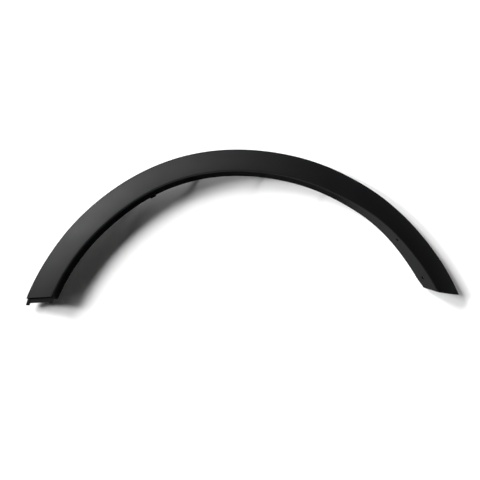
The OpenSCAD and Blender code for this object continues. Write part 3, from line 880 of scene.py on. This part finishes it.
class BuildMoulding(Operator):
    """Builds the moulded trim: shell, joggle, tab, ribs, clip houses and screw holes"""
    bl_idname = "arch_trim.build_moulding"
    bl_label = "Moulding"

    def execute(self, context):
        trim = context.scene.arch_trim
        plan, section, ends, clips = trim.plan, trim.section, trim.ends, trim.clips
        finish = moulded_polypropylene(trim.finish)
        wrap = wrap_tree(plan, section, ends)
        wheel = (plan.wheel_x, plan.wheel_y, 0.0)
        wall, sink = section.wall, section.wall / 2

        def wrapped(name, line, stations, inset=0.0):
            values = {"Inset": inset, "Wheel": wheel, "Finish": finish}
            return run_tree(blank(name, line, stations), wrap, values)

        def shell_ring(wide, flared, past):
            outside, inside = (skin_line(section, wide, flared, depth) for depth in (0, wall))
            return [*outside, *reversed(inside)]

        def room_ring(wide, flared, past):
            line = skin_line(section, wide, flared, sink)[1:-1]
            last, gaps = line[-1], len(line) + 1
            return [*line, *(last + (line[0] - last) * (i + 1) / gaps for i in range(len(line)))]

        def layer(name, past, depth, across):
            def ring(wide, flared, past):
                shares = np.linspace(*across, ACROSS_STEPS + 1)
                dip = ends.tongue_dip * max(past, 0) / ends.tongue_reach
                upper, lower = (
                    [under_face(section, wide, flared, s, d + dip) for s in shares] for d in depth)
                return [*upper, *reversed(lower)]
            return wrapped(name, ring, [(1.0, p) for p in np.linspace(*past, ALONG_STEPS + 1)])

        # The room behind the shell bounds houses and ribs, and stops inside both cuts.
        room_inset = radians(1.0)
        shares = np.linspace(0, 1, plan.stations + 1)
        shell = wrapped("shell", shell_ring, [(s, 0.0) for s in shares])
        room = wrapped("room", room_ring, [(s, 0.0) for s in shares], room_inset)

        # The joggle laps the shell and stops short of the cut. Both prongs stand proud of the
        # tongue and reach deeper, and the inner one bites into the wall.
        lap, short, proud, deeper, bite = 0.014, 0.0008, 0.0008, 0.0025, 0.0005
        back, reach = ends.tongue_setback, ends.tongue_reach
        low, halfway = back + ends.tongue_thickness, back + ends.tongue_thickness / 2
        prong = (back - proud, low + deeper)
        # Each layer has its reach past the cut, its depths under the face, and its width in
        # shares of the way from outer edge to crease.
        layers = {
            "joggle": ((-lap, -short), (sink, halfway), (0.03, 0.95)),
            "tongue": ((-0.7 * lap, reach), (back, low), (0.08, 0.93)),
            "outer_prong": ((-0.4 * lap, reach + ends.outer_prong), prong, (0.02, 0.12)),
            "inner_prong": ((-bite, reach + ends.inner_prong), prong, (0.91, 1.01)),
        }
        parts = [shell, *(layer(name, *spans) for name, spans in layers.items())]

        house = clip_house(section, clips)
        houses = clip_points("houses", plan)
        run_tree(houses, repeat_tree("Clip houses"), {"Shape": house, "Finish": finish})
        cut(houses, [room], "INTERSECT")
        ribs = rib_blades(plan, section, clips, room, finish)
        discard([house, room])

        drills, pads = [], []
        for mount in SCREW_MOUNTS:
            half = mount["dims"]["length_mm"] / 1000 / 2
            pad = cylinder("pad", clips.pad_radius, -half + sink, half)
            drill = cylinder("drill", mount["dims"]["r_mm"] / 1000, -2 * wall, 2 * wall)
            for piece in (pad, drill):
                piece.data.transform(pose_on(mount))
            pads.append(cut(pad, [drill]))
            drills.append(drill)
        cut(shell, drills)
        discard(drills)

        parts += [liner_tab(plan, section, ends), *pads, houses, ribs]
        whole = join("arch_moulding_skin", parts, finish)
        finish_piece(whole, ["arch_moulding"])
        return {"FINISHED"}


class BuildClips(Operator):
    """Builds the eight push-in clips and their foam seals"""
    bl_idname = "arch_trim.build_clips"
    bl_label = "Clips and seals"

    def execute(self, context):
        trim = context.scene.arch_trim
        body, ring = clip_body(trim.section, trim.clips), seal_ring(trim.clips)
        nylon, foam = natural_nylon(trim.finish), closed_cell_foam(trim.finish)
        for name, shape, finish, slot_name, node in (
            ("push_in_clips", body, nylon, "clip_nylon", "clip_"),
            ("foam_seals", ring, foam, "seal_foam", "clip_seal_"),
        ):
            piece = clip_points(name, trim.plan)
            run_tree(piece, repeat_tree(name), {"Shape": shape, "Finish": finish})
            finish_piece(piece, [f"{node}{i}" for i in CLIPS])
        discard([body, ring])
        return {"FINISHED"}


class BuildStudio(Operator):
    """Sets the pale bench, the lamps and cards, the room's light and the camera"""
    bl_idname = "arch_trim.build_studio"
    bl_label = "Studio"

    def execute(self, context):
        scene, trim = context.scene, context.scene.arch_trim
        studio = trim.studio
        made = bmesh.new()
        bmesh.ops.create_circle(made, cap_ends=True, segments=64, radius=30)
        bench = piece_of("bench", made)
        # The bench lies just under the clips' tips.
        clearance = 0.0001
        bench.data.transform(Matrix.Translation((0, 0, CAD_BOX[0][2] - clearance)))
        bench.data.materials.append(plain_bench(trim.finish))

        # The key light casts shadows and shows in the gloss. The window light and the low light
        # fall on matt surfaces alone, and the two cards are seen in the gloss alone.
        for name, on_matt, in_gloss in (
            ("key", True, True),
            ("window", True, False),
            ("low", True, False),
            ("side", False, True),
            ("front", False, True),
        ):
            bearing, height, size, strength = getattr(studio, name)
            turn, tilt = radians(bearing), radians(height)
            light = bpy.data.lights.new(name, "SUN")
            light.energy, light.angle = strength, radians(size)
            toward = Matrix.Rotation(turn, 3, "Z") @ Vector((cos(tilt), 0, sin(tilt)))
            made = put_in_scene(name, light)
            made.rotation_euler = toward.to_track_quat("Z", "Y").to_euler()
            made.visible_diffuse, made.visible_glossy = on_matt, in_gloss

        # The room is dim, but the backdrop past the bench looks pale to the camera.
        world = bpy.data.worlds.new("room")
        world.use_nodes = True
        tree = world.node_tree
        tree.nodes.clear()
        dim = add(tree, "ShaderNodeBackground", {"Color": (1, 1, 1, 1), "Strength": studio.fill_strength})
        pale = add(tree, "ShaderNodeBackground", {"Color": (0.95, 0.95, 0.95, 1), "Strength": 1.0})
        seen = add(tree, "ShaderNodeLightPath").outputs["Is Camera Ray"]
        both = add(tree, "ShaderNodeMixShader", [seen, dim, pale])
        add(tree, "ShaderNodeOutputWorld", {"Surface": both})
        scene.world = world

        lens = bpy.data.cameras.new("camera")
        lens.lens, lens.sensor_width, lens.clip_end = studio.lens, 36, 200
        camera = put_in_scene("camera", lens)
        camera.location = (studio.camera_x, studio.camera_y, studio.camera_height)
        scene.camera = camera
        scene.view_settings.view_transform = "Standard"
        scene.view_settings.look = "None"
        return {"FINISHED"}


class ArchTrimPanel(Panel):
    """Lists the trim's builders and sizes"""
    bl_idname = "VIEW3D_PT_arch_trim"
    bl_label = "Wheel Arch Trim"
    bl_space_type = "VIEW_3D"
    bl_region_type = "UI"
    bl_category = "Arch Trim"

    def draw(self, context):
        trim = context.scene.arch_trim
        for operator in BUILDERS:
            self.layout.operator(operator.bl_idname)
        for group in (trim.plan, trim.section, trim.ends, trim.clips, trim.finish, trim.studio):
            box = self.layout.box()
            for name in group.bl_rna.properties.keys():
                if name not in ("rna_type", "name"):
                    box.prop(group, name)


BUILDERS = (BuildMoulding, BuildClips, BuildStudio)
CLASSES = (ArchPlan, TrimSection, TrimEnds, ClipSizes, Finish, Studio, ArchTrim, *BUILDERS, ArchTrimPanel)


def register():
    for cls in CLASSES:
        bpy.utils.register_class(cls)
    bpy.types.Scene.arch_trim = PointerProperty(type=ArchTrim)


def unregister():
    del bpy.types.Scene.arch_trim
    for cls in reversed(CLASSES):
        bpy.utils.unregister_class(cls)


def main():
    register()
    bpy.ops.arch_trim.build_moulding()
    bpy.ops.arch_trim.build_clips()
    bpy.ops.arch_trim.build_studio()


if __name__ == "__main__":
    main()
